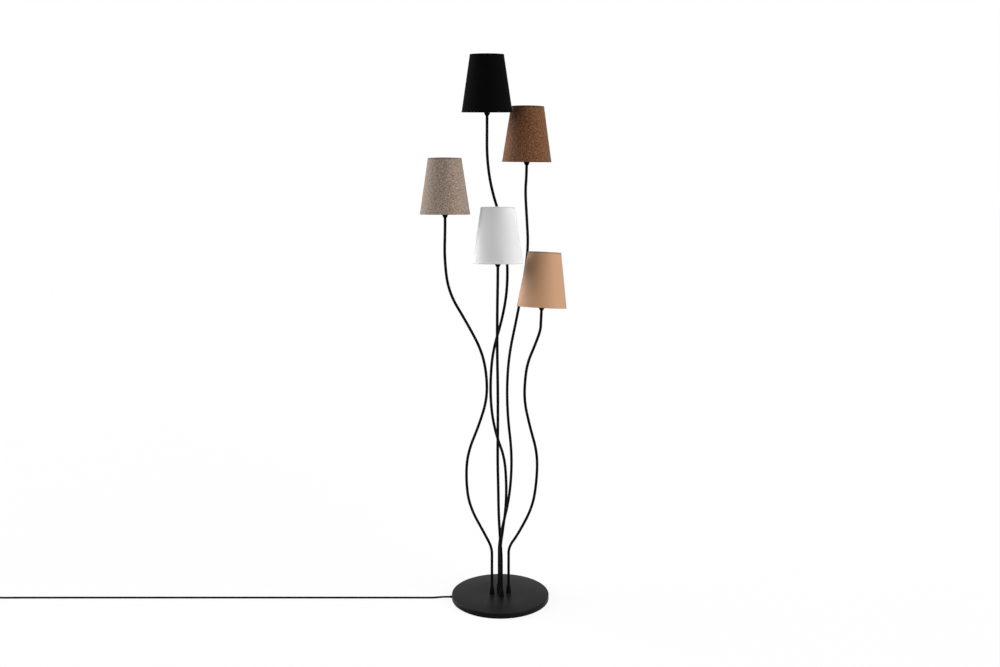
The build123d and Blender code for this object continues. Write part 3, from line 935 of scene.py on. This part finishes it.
def makeSwitch():
    look = footSwitch
    place = at(look["middle"], onLine["y"], 0)
    outside = (look["long"], look["wide"])
    inside = (look["long"] - 2 * look["wall"], look["wide"] - 2 * look["wall"])
    innerCorner = look["corner"] - look["wall"]
    case = slabMesh(*outside, look["low"], look["split"], look["corner"], look["foot"], look["seam"])
    hollow = slabMesh(*inside, look["floor"], look["split"] + look["overcut"], innerCorner, 0, 0)
    lower = carved("switchLower", case, [hollow], finishes["blackPlastic"], place)
    mounted(lower, ["switch_lower"])
    case = slabMesh(*outside, look["split"], look["top"], look["corner"], look["seam"], look["edge"])
    hollow = slabMesh(*inside, look["split"] - look["overcut"], look["top"] - look["wall"], innerCorner, 0, 0)
    well = wellMesh(look["well"], look["split"], look["top"] + look["overcut"])
    upper = carved("switchUpper", case, [hollow, well], finishes["blackPlastic"], place)
    mounted(upper, ["switch_upper"])
    top, wide, flange, plunger = look["proud"], look["button"], look["flange"], look["plunger"]
    outline = [  # a shallow dish, the rim, the flange that holds the button in and the plunger
        (0, top - 0.8, 0), (wide * 0.55, top - 0.5, 4.0), (wide - 1.4, top, 0.8), (wide, top - 1.2, 0.5),
        (wide, look["flangeTop"], 0), (flange, look["flangeTop"], 0.2), (flange, look["flangeLow"], 0.2),
        (plunger, look["flangeLow"], 0), (plunger, look["plungerLow"], 0.4), (0, look["plungerLow"], 0),
    ]
    button = spun("footButton", outline, finishes["blackPlastic"], look["steps"], place, closed=False)
    mounted(button, ["foot_button"], "button")
    return [lower, upper, button]


plug = {
    "x": -1825.0, "y": 100.0, "z": 6.9, "long": 36.0, "shoulder": 20.0, "wide": 35.0, "narrow": 16.0,
    "thick": 13.6, "corner": 3.0, "edge": 2.0, "relief": 22.0, "grip": 2.2, "gripDeep": 0.5, "gripEdge": 0.4,
}


def makePlug():
    mesh = bmesh.new()
    bmesh.ops.create_grid(mesh, x_segments=1, y_segments=1, size=0.5)
    bmesh.ops.rotate(mesh, cent=(0, 0, 0), matrix=Matrix.Rotation(radians(90), 3, "X"), verts=mesh.verts)
    bmesh.ops.scale(mesh, vec=(plug["narrow"] / 1000, 1, plug["thick"] / 1000), verts=mesh.verts)
    face = mesh.faces[:]  # the narrow end, drawn out to the shoulder and on to the pins
    flare = plug["wide"] / plug["narrow"]
    for step, widen in ((plug["shoulder"], flare), (plug["long"] - plug["shoulder"], 1)):
        grown = bmesh.ops.extrude_face_region(mesh, geom=face)["geom"]
        face = [part for part in grown if isinstance(part, bmesh.types.BMFace)]
        corners = [part for part in grown if isinstance(part, bmesh.types.BMVert)]
        bmesh.ops.translate(mesh, vec=(0, step / 1000, 0), verts=corners)
        bmesh.ops.scale(mesh, vec=(widen, 1, 1), verts=corners)
    # the extrusion leaves a wall across the shoulder
    stray = [part for part in mesh.faces if abs(part.calc_center_median().y - plug["shoulder"] / 1000) < 1e-6]
    bmesh.ops.delete(mesh, geom=[part for part in stray if abs(part.normal.y) > 0.9], context="FACES_ONLY")
    bmesh.ops.recalc_face_normals(mesh, faces=mesh.faces)
    upright = [edge for edge in mesh.edges if abs(edge.verts[0].co.z - edge.verts[1].co.z) > 0.01]
    softenEdges(mesh, upright, plug["corner"], rimSteps)
    half = plug["thick"] / 2000
    rims = [
        edge for edge in mesh.edges
        if all(abs(abs(vert.co.z) - half) < 1e-6 for vert in edge.verts) and edge.calc_face_angle(0) > 1
    ]
    softenEdges(mesh, rims, plug["edge"], rimSteps)
    grips = [part for part in mesh.faces if abs(part.normal.z) > 0.99 and part.calc_area() > 5e-5]
    bmesh.ops.inset_individual(
        mesh, faces=grips, thickness=plug["grip"] / 1000, depth=-plug["gripDeep"] / 1000,
    )
    for side in grips:
        softenEdges(mesh, side.edges[:], plug["gripEdge"], 3)
    joinInto(mesh, reliefMesh(plug["relief"], reliefLook["wide"]), turned(90, "X"))
    bmesh.ops.transform(mesh, matrix=at(plug["x"], plug["y"], plug["z"]), verts=mesh.verts)
    piece = smoothed(pieceOf("plugBody", mesh, [finishes["blackPlastic"]]), 35)
    return mounted(piece, ["plug_body"])


onCord = makeSwitch() + [makeReliefs(), makePlug()]
onCord += [nodes[name] for name in ("plug_pins", "switch_core", "switch_screws")]
print("switch and plug made")


# Finishes of the pieces that keep their modelled shape

keptFinishes = {
    "anti_slip_pad": "pad", "base_plate": "steel", "plate_screws": "steel", "ballast": "iron",
    "stem_washers": "steel", "stem_nuts": "steel", "stem_leads": "paleMoulding",
    "terminal_block": "paleMoulding", "cord_clamp": "steel", "cord_lead_in": "blackRubber",
    "shade_top_rings": "paleWire", "shade_ring_nuts": "blackPlastic", "bulb_caps": "nickel",
    "switch_screws": "steel", "switch_core": "paleMoulding", "plug_pins": "nickel",
    **{"shade_frame_" + name: "paleWire" for name in headPlaces},
}
for nodeName, finishName in keptFinishes.items():
    for slot in nodes[nodeName].material_slots:
        slot.material = finishes[finishName]
print("kept nodes finished")
